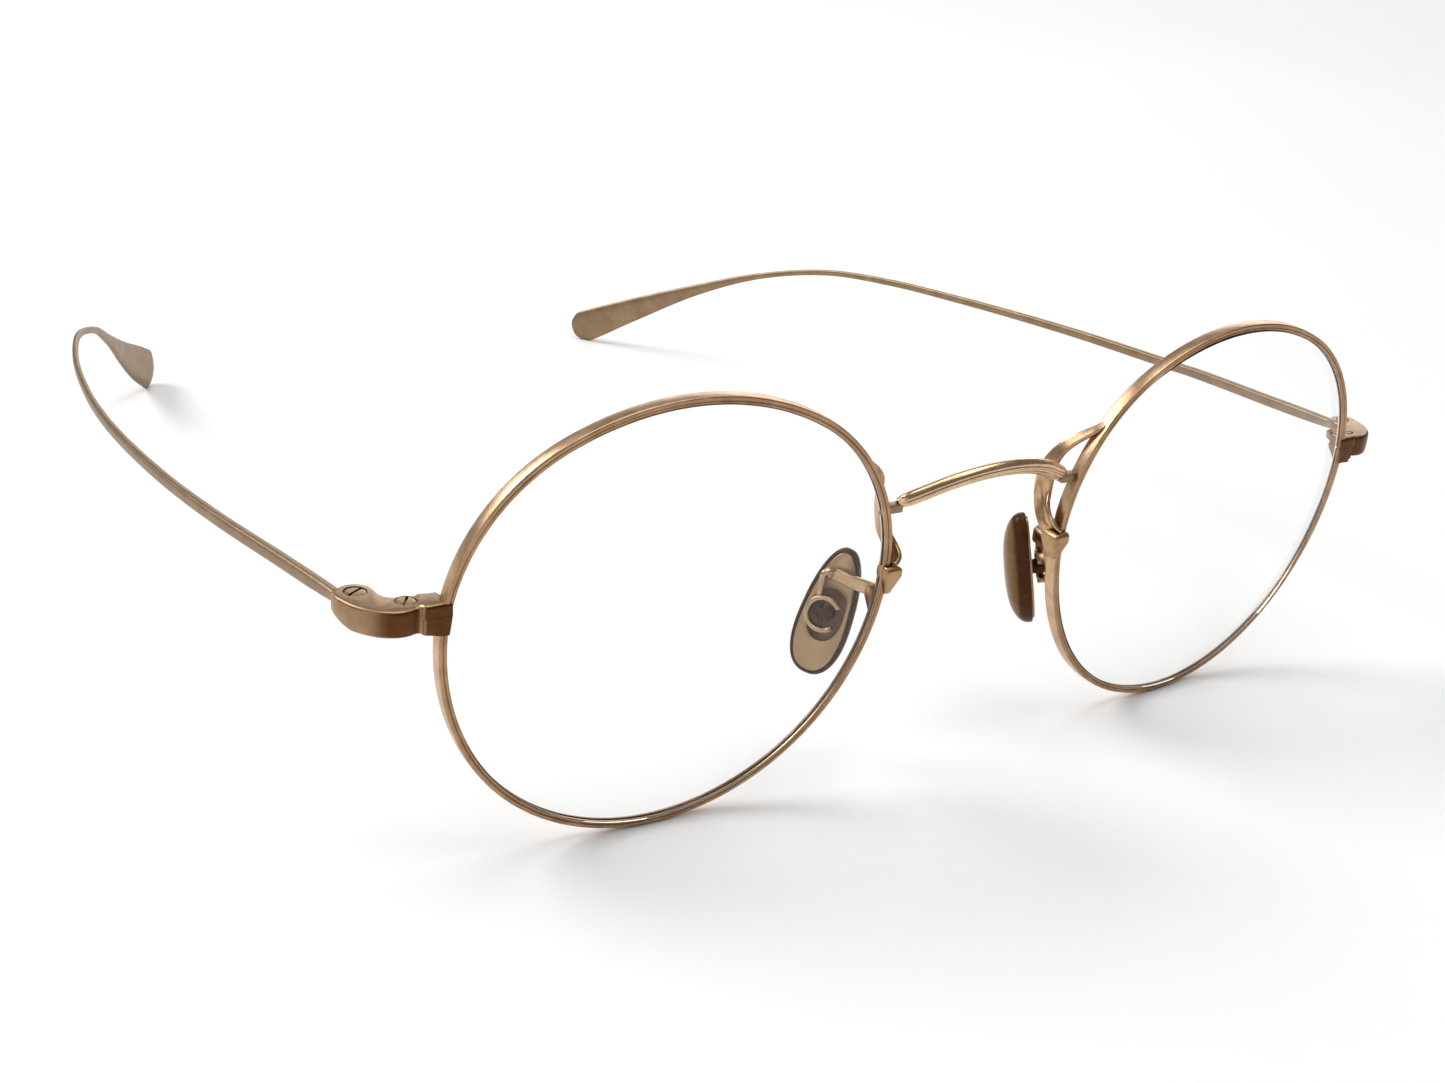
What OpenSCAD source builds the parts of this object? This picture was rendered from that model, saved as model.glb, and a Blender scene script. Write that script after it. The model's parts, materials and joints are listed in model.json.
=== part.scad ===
// Small oval metal eyeglasses: wire rims, arched bridge, nose bows, pivoting pads,
// wrapped end pieces with a closing screw and a hinge screw, slim folding temples.
// Axes: X across the face, -Y towards the front, +Z up. Z = 0 is the table that the
// rims and the temple tips rest on. The object is symmetrical about X = 0.

/* [Lenses and rims] */
// half-width of the rim wire's centre line
rim_half_w = 24; // [20:0.5:28]
// distance of each lens centre from the middle
lens_x = 36; // [30:0.5:40]
// radius of the upper side arcs of the lens outline
r_side_up = 19.6; // [15:0.1:23]
// radius of the top arc
r_top = 29; // [25:0.1:40]
// radius of the lower side arcs
r_side_low = 25.4; // [24.5:0.1:40]
// radius of the bottom arc
r_bottom = 23.8; // [15:0.1:24]
// thickness of the rim wire across its outline
rim_t = 0.9; // [0.7:0.05:1.5]
// depth of the rim wire from front to back
rim_d = 1.4; // [1.0:0.1:2.5]
// lens thickness
lens_t = 1.4; // [1:0.1:3]
// radius of the lens front surface
lens_r = 130; // [80:5:300]
// how far the outer side of each rim is turned back, degrees
face_form = 3.5; // [0:0.5:8]
// how far the bottom of each rim is tilted back, degrees
panto = 3.5; // [0:0.5:10]

/* [Bridge] */
// half-width of the bridge bar
bridge_half = 11.4; // [8:0.1:14]
// radius of the arched middle
bridge_r = 14.5; // [10:0.5:25]
// half angle of the arched middle, degrees
bridge_a = 31; // [15:1:50]
// half-width of the bar's section, across the arch
bar_out = 1; // [0.7:0.05:1.3]
// half-depth of the bar's section, front to back
bar_fwd = 0.7; // [0.6:0.05:1]
// depth of the flutes along the bar, as a share of its section
flute_share = 0.11; // [0:0.01:0.2]

/* [Nose pads] */
// pad length
pad_l = 14; // [10:0.5:16]
// pad width
pad_w = 5.6; // [5:0.1:9]
// pad crown height
pad_h = 2.8; // [2.7:0.1:4]
// turn of the pad away from straight back, degrees
pad_splay = 36; // [10:1:50]
// lean of the pad, lower end outwards, degrees
pad_lean = 12.5; // [0:0.5:30]
// tilt of the pad in its own plane, degrees
pad_roll = -10; // [-20:1:20]
// radius of the pad pivot pin
pin_r = 0.28; // [0.2:0.02:0.4]

/* [End pieces and hinges] */
// distance of the hinge axis from the middle
hinge_x = 66; // [60:0.5:75]
// radius of the hinge boss
boss_r = 1.8; // [1.4:0.1:2.5]
// height of the end piece
end_h = 2.6; // [2:0.1:4]
// height of the temple's hinge lug
lug_h = 0.9; // [0.6:0.05:1.5]
// radius of the temple's hinge lug
lug_r = 1.3; // [1:0.05:1.6]
// radius of the hinge screw
screw_r = 0.6; // [0.4:0.05:0.9]
// running gap in the hinge
gap = 0.04; // [0.02:0.01:0.1]

/* [Temples] */
// height of the temple shaft at the hinge end
shaft_h = 1.35; // [1:0.05:2.5]
// thickness of the temple shaft at the hinge end
shaft_t = 1.05; // [0.7:0.05:2]
// width of the flat temple tip
tip_w = 5.2; // [3:0.1:7]

/* [Colours] */
// metal colour
metal = "#A88459"; // [#A88459:Antique gold, #B8B8B8:Silver]
// pad colour
pad_brown = "#4A3122"; // [#4A3122:Dark brown, #CCCCCC:Clear]

/* [Hidden] */
rise = 23.07;
back_shift = 67.88;
y_top = -sqrt(pow(r_top - r_side_up, 2) - pow(rim_half_w - r_side_up, 2));
y_bot = -sqrt(pow(r_side_low - r_bottom, 2) - pow(r_side_low - rim_half_w, 2));
a_up = atan2(-y_top, rim_half_w - r_side_up);
a_low = atan2(y_bot, r_side_low - rim_half_w);
mid_v = (y_top + r_top + y_bot - r_bottom) / 2;
z_top = 5.5;
z_low = z_top - end_h;
z_mid = z_top - end_h / 2;
z_split = 4.5;
hinge_y = 6.2;
lock_x = 62.8;
lock_y = 2.7;
pad_at = [14.3, 4.1, -4.9];

// point of the lens outline, moved outwards by o, at the angle a on the arc with centre c
function arc_pts(cx, cy, r, a0, a1, n) =
    [for (i = [0:n - 1]) let (a = a0 + (a1 - a0) * i / n) [cx + r * cos(a), cy + r * sin(a) - mid_v]];
function outline(o) = concat(
    arc_pts(rim_half_w - r_side_low, 0, r_side_low + o, a_low, 0, 14),
    arc_pts(rim_half_w - r_side_up, 0, r_side_up + o, 0, a_up, 14),
    arc_pts(0, y_top, r_top + o, a_up, 180 - a_up, 20),
    arc_pts(r_side_up - rim_half_w, 0, r_side_up + o, 180 - a_up, 180, 14),
    arc_pts(r_side_low - rim_half_w, 0, r_side_low + o, 180, 180 - a_low, 14),
    arc_pts(0, y_bot, r_bottom + o, 180 - a_low, 360 + a_low, 20));

rt = rim_t / 2;
rd = rim_d / 2;
groove = 0.5;
chamfer = 0.12;

// solid slab of the outline between two depths
module slab(o, z0, z1) {
    translate([0, 0, z0]) linear_extrude(height = z1 - z0) polygon(outline(o));
}

// from the lens frame (outline in X and Y, front at +Z) to the wearer's left lens
module at_lens() {
    translate([lens_x, 0, 0])
        rotate([panto, 0, 0])
            rotate([0, 0, face_form])
                rotate([90, 0, 0])
                    children();
}

module place() {
    translate([0, -back_shift, rise]) children();
}

// side = 1 is the wearer's left (+X), side = -1 the wearer's right
module side_of(side) {
    place() {
        if (side > 0) children();
        else mirror([1, 0, 0]) children();
    }
}

module rim_ring() {
    at_lens() difference() {
        slab(rt, -rd, rd);
        slab(-rt, -rd - 1, rd + 1);
    }
}

module rim(side) {
    color(metal) side_of(side) difference() {
        at_lens() difference() {
            union() {
                slab(rt, -rd + chamfer, rd - chamfer);
                slab(rt - chamfer, -rd, rd);
            }
            slab(-rt, -rd - 1, rd + 1);
            slab(-rt + groove, -0.3, 0.3);
        }
        translate([lens_x + rim_half_w - 2, -2, z_split - 0.08]) cube([4, 6, 0.16]);
    }
}

module lens(side) {
    sag = 2.1;
    color("#E8EEF0", 0.35) side_of(side) at_lens() union() {
        intersection() {
            difference() {
                translate([0, 0, rd + sag - lens_r]) sphere(r = lens_r, $fn = 200);
                translate([0, 0, rd + sag - lens_r]) sphere(r = lens_r - lens_t, $fn = 200);
            }
            slab(-rt - 0.03, -3, 5);
        }
        difference() {
            slab(-rt + 0.42, -0.25, 0.25);
            slab(-rt - 0.6, -1, 1);
        }
    }
}

// section of the bridge bar, x outwards from the arch, y to the front, with flutes along the front
function soft_pow(v, e) = sign(v) * pow(abs(v), e);
bar_prof = [for (a = [0:12:348]) let (k = (a == 48 || a == 72 || a == 96 || a == 120) ? 1 - flute_share : 1)
    [bar_out * k * soft_pow(cos(a), 0.87), bar_fwd * k * soft_pow(sin(a), 0.87)]];
bar_straight = (bridge_half - bridge_r * sin(bridge_a)) / cos(bridge_a);
// distance along the straight end and angle from the crest, for each section of the bar
bar_steps = concat([for (k = [3:-1:1]) [bar_straight * k / 3, -bridge_a]],
    [for (i = [0:20]) [0, bridge_a * (i / 10 - 1)]], [for (k = [1:3]) [bar_straight * k / 3, bridge_a]]);
function bar_point(q, p) = let (m = sign(q[1]), r = bridge_r + p[0])
    [r * sin(q[1]) + m * q[0] * cos(q[1]), -p[1], r * cos(q[1]) - bridge_r - q[0] * sin(abs(q[1]))];

module bridge_bar() {
    n = len(bar_prof);
    m = len(bar_steps);
    polyhedron(
        points = [for (q = bar_steps) for (p = bar_prof) bar_point(q, p)],
        faces = concat(
            [for (i = [0:m - 2]) for (j = [0:n - 1]) let (k = (j + 1) % n)
                each [[i * n + j, (i + 1) * n + j, (i + 1) * n + k], [i * n + j, (i + 1) * n + k, i * n + k]]],
            [[for (j = [0:n - 1]) j]],
            [[for (j = [n - 1:-1:0]) (m - 1) * n + j]]),
        convexity = 6);
}

module bridge() {
    color(metal) place() {
        translate([0, -4.3, 12]) rotate([40, 0, 0]) bridge_bar();
        for (m = [0, 1]) mirror([m, 0, 0]) difference() {
            translate([11.1, -1.85, 8.2]) cube([2.4, 0.8, 0.8]);
            at_lens() slab(rt, -3, 3);
        }
    }
}

// ring of points of a rounded bar section, a = half-width along u, b = half-thickness along v
function oval_ring(c, u, v, a, b, e, n) = [for (i = [0:n - 1]) let (t = 360 * (i + 0.5) / n)
    c + u * a * sign(cos(t)) * pow(abs(cos(t)), 2 / e) + v * b * sign(sin(t)) * pow(abs(sin(t)), 2 / e)];
function unit(v) = v / norm(v);
function tangent(p, i) = unit(p[min(i + 1, len(p) - 1)] - p[max(i - 1, 0)]);

// closed bar along the points p, with half-widths w, half-thicknesses h, width direction near up
module bar_along(p, w, h, up, e, n) {
    m = len(p);
    rings = [for (i = [0:m - 1]) let (t = tangent(p, i), v = unit(cross(t, up[i])), u = cross(v, t))
        oval_ring(p[i], u, v, w[i], h[i], e, n)];
    pts = [for (r = rings) for (q = r) q];
    side_f = [for (i = [0:m - 2]) for (j = [0:n - 1]) let (k = (j + 1) % n)
        each [[i * n + j, (i + 1) * n + j, (i + 1) * n + k], [i * n + j, (i + 1) * n + k, i * n + k]]];
    cap_a = [for (j = [1:n - 2]) [0, j, j + 1]];
    cap_b = [for (j = [1:n - 2]) [(m - 1) * n, (m - 1) * n + j + 1, (m - 1) * n + j]];
    polyhedron(points = pts, faces = concat(side_f, cap_a, cap_b), convexity = 6);
}

// smooth curve through control rows, k steps between two rows
function cr(a, b, c, d, t) = 0.5 * ((2 * b) + (c - a) * t + (2 * a - 5 * b + 4 * c - d) * t * t
    + (3 * b - a - 3 * c + d) * t * t * t);
function smooth(q, k) = let (m = len(q)) concat([for (i = [0:m - 2]) for (j = [0:k - 1])
    cr(q[max(i - 1, 0)], q[i], q[i + 1], q[min(i + 2, m - 1)], j / k)], [q[m - 1]]);

// nose bow: points of its front edge and of its rear edge
bow_front = [[14.9, -2.3, 13.9], [13.8, -1.7, 13.0], [12.9, -0.6, 11.4], [12.2, 0.1, 9.7], [11.9, 0.4, 7.8], [11.5, 0.2, 6.1],
    [10.9, -0.5, 4.9], [10.65, -1.5, 3.9], [11.0, -2.3, 3.1], [11.7, -2.6, 2.4]];
bow_rear = [[16.2, -1.1, 14.3], [14.8, -0.6, 13.5], [13, 0.8, 12.0], [12.1, 1.8, 10.2], [11.4, 2.4, 8.1], [11.2, 2.1, 5.8],
    [11.0, 1.3, 4.1], [10.7, 0.3, 2.9], [10.6, -0.4, 2.1], [10.8, -0.8, 1.6]];
bow_t = 0.5;

module bow(side) {
    f = smooth(bow_front, 4);
    b = smooth(bow_rear, 4);
    last = len(f) - 1;
    color(metal) side_of(side) difference() {
        union() {
            bar_along([for (i = [0:last]) (f[i] + b[i]) / 2], [for (i = [0:last]) norm(b[i] - f[i]) / 2],
                [for (i = [0:last]) bow_t / 2], [for (i = [0:last]) unit(b[i] - f[i])], 3.5, 10);
            hull() {
                translate([10.65, -2.8, 1.1]) cube([1.85, 2.2, 0.8]);
                translate([10.95, -2.6, 1.1]) cube([1.5, 1.9, 1.4]);
                translate([11.35, -2.1, -0.8]) cube([0.5, 1.1, 0.2]);
            }
        }
        rim_ring();
        at_lens() slab(-rt + 0.02, -0.95, 3);
    }
}

// directions of the pad frame: across (to the back), along (up), outwards from the metal plate
function rot_about(v, k, a) = v * cos(a) + cross(k, v) * sin(a) + k * (k * v) * (1 - cos(a));
pad_w0 = [sin(pad_splay), cos(pad_splay), 0];
pad_l1 = rot_about([0, 0, 1], pad_w0, -pad_lean);
pad_o1 = rot_about([cos(pad_splay), -sin(pad_splay), 0], pad_w0, -pad_lean);
pad_u = rot_about(pad_w0, pad_o1, -pad_roll);
pad_v = rot_about(pad_l1, pad_o1, -pad_roll);
function on_pad(u, v, o) = pad_at + pad_u * u + pad_v * v + pad_o1 * o;

module at_pad() {
    translate(pad_at) rotate([0, 0, -pad_splay]) rotate([90, 0, 90])
        rotate([-pad_lean, 0, 0]) rotate([0, 0, -pad_roll]) children();
}

// outline of the pad, wider at its lower end
pad_taper = 0.027;
pad_out = [for (i = [0:35]) let (t = i * 10, v = pad_l / 2 * soft_pow(sin(t), 0.85))
    [pad_w / 2 * (1 - pad_taper * v) * soft_pow(cos(t), 0.85), v]];
band_r = 1.45;
band_t = 0.5;
band_z = 0.75;
band_h = 1.1;
pin_z = band_z + 0.55;

module pad(side) {
    lv = [[1, -0.1], [1, -0.55], [0.93, -1.2], [0.8, -1.75], [0.58, -2.25], [0.3, -2.58], [0, -pad_h]];
    n = 36;
    color(pad_brown) side_of(side) at_pad() difference() {
        polyhedron(
            points = concat([for (k = [0:5]) for (p = pad_out) [p[0] * lv[k][0], p[1] * lv[k][0], lv[k][1]]],
                [[0, 0, -pad_h], [0, 0, -0.1]]),
            faces = concat(
                [for (k = [0:4]) for (j = [0:n - 1]) let (i = (j + 1) % n)
                    each [[k * n + j, k * n + i, (k + 1) * n + i], [k * n + j, (k + 1) * n + i, (k + 1) * n + j]]],
                [for (j = [0:n - 1]) [5 * n + j, 5 * n + (j + 1) % n, 6 * n]],
                [for (j = [0:n - 1]) [(j + 1) % n, j, 6 * n + 1]]),
            convexity = 4);
        translate([0, 0, -0.5]) linear_extrude(height = 1) polygon(outline_pad(-0.45));
    }
}

function outline_pad(o) = [for (p = pad_out) [p[0] * (1 + 2 * o / pad_w), p[1] * (1 + 2 * o / pad_l)]];

module pad_plate(side) {
    color(metal) side_of(side) at_pad() difference() {
        union() {
            difference() {
                translate([0, 0, -0.5]) linear_extrude(height = 0.7) polygon(outline_pad(-0.47));
                intersection() {
                    translate([0, -0.3, -0.15]) cylinder(h = 1, r = 2.85, $fn = 64);
                    translate([-1.85, -4, -0.15]) cube([3.6, 8, 1]);
                }
            }
            translate([-0.85, -0.55, -0.3]) cube([1.7, 1.1, 0.3 + pin_z + 0.55]);
        }
        translate([0, 0, pin_z]) rotate([90, 0, 0]) cylinder(h = 4, r = pin_r + gap, center = true, $fn = 48);
    }
}

module pad_pin(side) {
    color(metal) side_of(side) at_pad()
        translate([0, 0, pin_z]) rotate([90, 0, 0])
            cylinder(h = 2 * (band_r + band_t) + 0.3, r = pin_r, center = true, $fn = 48);
}

module pad_arm(side) {
    p = [[12.05, -1.2, -0.9], [12.4, -0.4, -0.7], [13.3, 1.8, -0.35], [13.9, 3.6, -0.3],
        on_pad(1.2, 4.1, 1.75), on_pad(1.6, 3.0, 1.6), on_pad(1.6, 2.1, 1.35), on_pad(1.2, 1.3, 1.25)];
    r = smooth(p, 4);
    m = len(r);
    w = [for (i = [0:m - 1]) i < 14 ? 0.7 : i < 20 ? 0.7 - 0.04 * (i - 14) : 0.45];
    up = [for (i = [0:m - 1]) let (f = min(max((i - 12) / 8, 0), 1)) unit([0, 0, 1] * (1 - f) + pad_o1 * f)];
    color(metal) side_of(side) difference() {
        union() {
            bar_along(r, w, [for (i = [0:m - 1]) 0.28], up, 3.5, 10);
            hull() {
                translate([12.2, -0.8, -1.2]) cube([0.75, 1.2, 0.8]);
                translate([12.4, -0.9, -3.2]) cube([0.3, 0.5, 0.2]);
            }
            at_pad() translate([0, 0, band_z]) difference() {
                cylinder(h = band_h, r = band_r + band_t, $fn = 64);
                translate([0, 0, -1]) cylinder(h = 4, r = band_r, $fn = 64);
                translate([-4, -0.75, -1]) cube([4, 1.5, 4]);
            }
        }
        rim_ring();
        at_lens() slab(-rt + 0.02, -0.95, 3);
        at_pad() translate([0, 0, pin_z]) rotate([90, 0, 0]) cylinder(h = 5, r = pin_r, center = true, $fn = 48);
        at_pad() translate([0, 0, band_z - 1]) cylinder(h = 4, r = band_r, $fn = 64);
    }
}

// plan of the end piece: front edge, then back edge
end_front = [[59.7, 0.35], [61.0, 0.45], [61.5, 0.9], [62.4, 0.7], [63.5, 0.62], [64.7, 0.85], [65.9, 1.5],
    [66.8, 2.5], [67.5, 3.7], [67.9, 5.0], [68.05, 6.0], [68.0, 6.8], [67.8, 7.1]];
end_back = [[66.0, 6.5], [64.3, 6.0], [64.2, 5.0], [63.9, 4.3], [63.3, 4.0], [62.3, 4.0], [61.5, 3.5],
    [60.6, 3.2], [59.7, 3.1]];

module end_plan() {
    polygon(concat(end_front, end_back));
}

module lock_plan(grow) {
    translate([59.6 - grow, 0.2 - grow]) square([1.85 + 2 * grow, 3 + 2 * grow]);
    translate([61 - grow, 1.5 - grow]) square([1.3 + 2 * grow, 1.7 + 2 * grow]);
    translate([lock_x, lock_y]) circle(r = 1.15 + grow, $fn = 64);
}

module end_piece(side) {
    color(metal) side_of(side) difference() {
        union() {
            translate([0, 0, z_low]) linear_extrude(height = end_h) end_plan();
            translate([hinge_x, hinge_y, z_low]) cylinder(h = end_h, r = boss_r, $fn = 96);
        }
        rim_ring();
        translate([0, 0, z_low - 1]) linear_extrude(height = z_split + 0.05 - z_low + 1) lock_plan(0.02);
        translate([lock_x, lock_y, z_low - 1]) cylinder(h = end_h + 2, r = 0.52, $fn = 48);
        translate([lock_x, lock_y, z_top - 0.6]) cylinder(h = 2, r = 0.97, $fn = 64);
        translate([hinge_x, hinge_y, z_mid - lug_h / 2 - gap]) {
            cylinder(h = lug_h + 2 * gap, r = lug_r + 0.22, $fn = 96);
            translate([-5, -0.5, 0]) cube([5, 5, lug_h + 2 * gap]);
            translate([-2, 0, 0]) cube([lug_r + 2.22, 5, lug_h + 2 * gap]);
        }
        translate([hinge_x, hinge_y, z_low - 1]) cylinder(h = end_h + 2, r = screw_r, $fn = 64);
        translate([hinge_x, hinge_y, z_top - 0.35]) cylinder(h = 2, r = 1.05, $fn = 64);
    }
}

module lock_block(side) {
    color(metal) side_of(side) difference() {
        translate([0, 0, 2.5]) linear_extrude(height = z_split - 2.5) lock_plan(0);
        rim_ring();
        translate([lock_x, lock_y, 0]) cylinder(h = 9, r = 0.5, $fn = 48);
    }
}

module slot(w, d) {
    translate([-w / 2, -3, -d]) cube([w, 6, 2]);
}

module lock_screw(side) {
    color(metal) side_of(side) translate([lock_x, lock_y, 0]) difference() {
        union() {
            translate([0, 0, z_top - 0.6]) cylinder(h = 0.58, r = 0.95, $fn = 64);
            translate([0, 0, 2.6]) cylinder(h = z_top - 0.6 - 2.6 + 0.1, r = 0.5, $fn = 48);
        }
        translate([0, 0, z_top - 0.02]) rotate([0, 0, 35]) slot(0.3, 0.3);
    }
}

module hinge_screw(side) {
    color(metal) side_of(side) translate([hinge_x, hinge_y, 0]) difference() {
        union() {
            translate([0, 0, z_top - 0.35]) cylinder(h = 0.35, r = 1.03, $fn = 64);
            translate([0, 0, z_low - 0.1]) cylinder(h = end_h - 0.2, r = screw_r, $fn = 64);
        }
        translate([0, 0, z_top]) rotate([0, 0, 60]) slot(0.3, 0.22);
    }
}

// temple: x, y, z of the centre line, half-height, half-thickness
temple_rows = [[66.6, 8.4, 4.15, 0.45, 0.7], [66.8, 10.5, 4.0, 0.6, 0.55],
    [67.4, 19.4, 3.4, shaft_h / 2, shaft_t / 2], [68.3, 31.4, 2.6, 0.65, 0.5],
    [68.6, 43.5, 1.7, 0.6, 0.48], [68.3, 55.6, 0.9, 0.58, 0.46], [67.3, 67.7, 0.05, 0.56, 0.44],
    [65.5, 79.6, -0.75, 0.54, 0.4], [63.0, 91.5, -1.6, 0.5, 0.37], [59.1, 102.9, -2.95, 0.45, 0.35],
    [53.6, 113.2, -6.05, 0.48, 0.36], [48.1, 122.8, -10.75, 0.68, 0.42], [42.4, 131.8, -16.2, 1.7, 0.5],
    [38.2, 137.7, -20.1, tip_w / 2 - 0.1, 0.5]];
tip_end = [[37.4, 138.8, -20.72, 0.97], [36.6, 139.95, -21.3, 0.74], [36.15, 140.55, -21.55, 0.42]];

module temple(side) {
    r = smooth(temple_rows, 4);
    p = concat([for (q = r) [q[0], q[1], q[2]]], [for (q = tip_end) [q[0], q[1], q[2]]]);
    w = concat([for (q = r) q[3]], [for (q = tip_end) tip_w / 2 * q[3]]);
    h = concat([for (q = r) q[4]], [for (q = tip_end) 0.5 * (0.5 + q[3] / 2)]);
    color(metal) side_of(side) difference() {
        union() {
            translate([hinge_x, hinge_y, z_mid - lug_h / 2]) cylinder(h = lug_h, r = lug_r, $fn = 96);
            translate([hinge_x - 0.1, hinge_y, z_mid - lug_h / 2]) cube([lug_r + 0.1, 2.6, lug_h]);
            bar_along(p, w, h, [for (q = p) [0, 0, 1]], 2.6, 12);
        }
        translate([hinge_x, hinge_y, 0]) cylinder(h = 9, r = screw_r + gap, $fn = 64);
    }
}

module right_rim() rim(-1);
module left_rim() rim(1);
module right_lens() lens(-1);
module left_lens() lens(1);
module right_bow() bow(-1);
module left_bow() bow(1);
module right_pad_arm() pad_arm(-1);
module left_pad_arm() pad_arm(1);
module right_pad() pad(-1);
module left_pad() pad(1);
module right_pad_plate() pad_plate(-1);
module left_pad_plate() pad_plate(1);
module right_pad_pin() pad_pin(-1);
module left_pad_pin() pad_pin(1);
module right_end_piece() end_piece(-1);
module left_end_piece() end_piece(1);
module right_lock_block() lock_block(-1);
module left_lock_block() lock_block(1);
module right_lock_screw() lock_screw(-1);
module left_lock_screw() lock_screw(1);
module right_hinge_screw() hinge_screw(-1);
module left_hinge_screw() hinge_screw(1);
module right_temple() temple(-1);
module left_temple() temple(1);

right_rim();
left_rim();
right_lens();
left_lens();
bridge();
right_bow();
left_bow();
right_pad_arm();
left_pad_arm();
right_pad();
left_pad();
right_pad_plate();
left_pad_plate();
right_pad_pin();
left_pad_pin();
right_end_piece();
left_end_piece();
right_lock_block();
left_lock_block();
right_lock_screw();
left_lock_screw();
right_hinge_screw();
left_hinge_screw();
right_temple();
left_temple();
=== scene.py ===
import json
import math
import bmesh
import bpy
from mathutils import Matrix, Vector


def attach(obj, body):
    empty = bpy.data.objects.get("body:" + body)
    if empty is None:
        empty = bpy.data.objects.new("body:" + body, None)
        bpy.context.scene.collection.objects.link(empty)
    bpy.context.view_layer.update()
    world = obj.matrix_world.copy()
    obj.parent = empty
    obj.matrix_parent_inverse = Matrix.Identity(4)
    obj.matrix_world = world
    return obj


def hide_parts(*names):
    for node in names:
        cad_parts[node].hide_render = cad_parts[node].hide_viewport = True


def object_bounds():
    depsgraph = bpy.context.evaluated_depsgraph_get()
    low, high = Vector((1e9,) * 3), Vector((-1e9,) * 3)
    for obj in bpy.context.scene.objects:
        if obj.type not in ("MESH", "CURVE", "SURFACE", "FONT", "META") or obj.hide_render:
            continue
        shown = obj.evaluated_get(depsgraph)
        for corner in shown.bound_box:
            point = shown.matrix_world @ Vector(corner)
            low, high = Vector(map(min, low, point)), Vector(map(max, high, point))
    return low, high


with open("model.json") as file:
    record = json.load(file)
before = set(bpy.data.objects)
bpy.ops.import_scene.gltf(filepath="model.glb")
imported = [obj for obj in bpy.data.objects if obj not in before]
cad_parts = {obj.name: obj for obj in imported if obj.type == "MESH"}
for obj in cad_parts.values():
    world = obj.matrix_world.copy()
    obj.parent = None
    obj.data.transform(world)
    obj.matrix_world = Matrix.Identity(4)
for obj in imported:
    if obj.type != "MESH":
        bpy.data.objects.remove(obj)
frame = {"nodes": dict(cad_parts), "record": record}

CAD_BOX = [list(c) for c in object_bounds()]
MM = 0.001

# ---- the design frame: millimetres, Y = 0 at the lens centres, Z = 0 at mid-height of the rims
HINGE = Vector((66.0, 6.2, 4.2))
JOINT = {j["name"]: j for j in frame["record"]["behaviour"]["joints"]}
SHIFT = Vector(JOINT["left_temple_fold"]["pos_m"]) / MM - HINGE

# rim outline: half width, lens centre in X, and the radii of its arcs
HALF_W, LENS_X = 24.0, 36.0
R_SIDE_UP, R_TOP, R_SIDE_LOW, R_BOTTOM = 19.6, 29.0, 25.4, 23.8
Y_ARC_TOP = -math.sqrt((R_TOP - R_SIDE_UP) ** 2 - (HALF_W - R_SIDE_UP) ** 2)
Y_ARC_BOT = -math.sqrt((R_SIDE_LOW - R_BOTTOM) ** 2 - (R_SIDE_LOW - HALF_W) ** 2)
MID_V = (Y_ARC_TOP + R_TOP + Y_ARC_BOT - R_BOTTOM) / 2

# half thickness and half depth of the wire, and the tilts of the lens plane
RIM_T, RIM_D = 0.45, 0.7
FACE_FORM, PANTO = math.radians(3.5), math.radians(3.5)

# end piece: its top, its underside, the split of the rim lock, the screws and the hinge lug
Z_TOP, Z_LOW, Z_SPLIT = 5.5, 2.9, 4.5
Z_MID = (Z_TOP + Z_LOW) / 2
LOCK = Vector((62.8, 2.7, 0))
LUG_H, LUG_R, SCREW_R, GAP = 0.9, 1.3, 0.6, 0.04
LUG_Z0, LUG_Z1 = Z_MID - LUG_H / 2, Z_MID + LUG_H / 2

AT_LENS = (Matrix.Translation((LENS_X, 0, 0)) @ Matrix.Rotation(PANTO, 4, "X")
           @ Matrix.Rotation(FACE_FORM, 4, "Z") @ Matrix.Rotation(math.pi / 2, 4, "X"))

# nose pad: U across it, V up it, O out of its back
PAD_AT = Vector((14.3, 4.1, -4.9))
PAD_L, PAD_W, PAD_H, PAD_TAPER = 14.0, 5.6, 2.8, 0.027
PAD_SPLAY, PAD_LEAN, PAD_ROLL = math.radians(36), math.radians(12.5), math.radians(-10)
AT_PAD = (Matrix.Translation(PAD_AT) @ Matrix.Rotation(-PAD_SPLAY, 4, "Z")
          @ Matrix.Rotation(math.pi / 2, 4, "Z") @ Matrix.Rotation(math.pi / 2, 4, "X")
          @ Matrix.Rotation(-PAD_LEAN, 4, "X") @ Matrix.Rotation(-PAD_ROLL, 4, "Z"))
PAD_O = AT_PAD.to_3x3() @ Vector((0, 0, 1))


def on_pad(u, v, o):
    return AT_PAD @ Vector((u, v, o))


def to_world(p, side):
    """Design millimetres to metres. side = -1 mirrors to the wearer's right."""
    return (p[0] * side + SHIFT.x) * MM, (p[1] + SHIFT.y) * MM, (p[2] + SHIFT.z) * MM


# ---- outlines and curves
def ease(t):
    t = min(max(t, 0.0), 1.0)
    return t * t * (3 - 2 * t)


def power(x, e):
    """x to the power e, with its sign kept."""
    return math.copysign(abs(x) ** e, x)


def arc(cx, cy, r, a0, a1, n):
    return [(cx, cy, r, a0 + (a1 - a0) * i / n) for i in range(n)]


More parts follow.
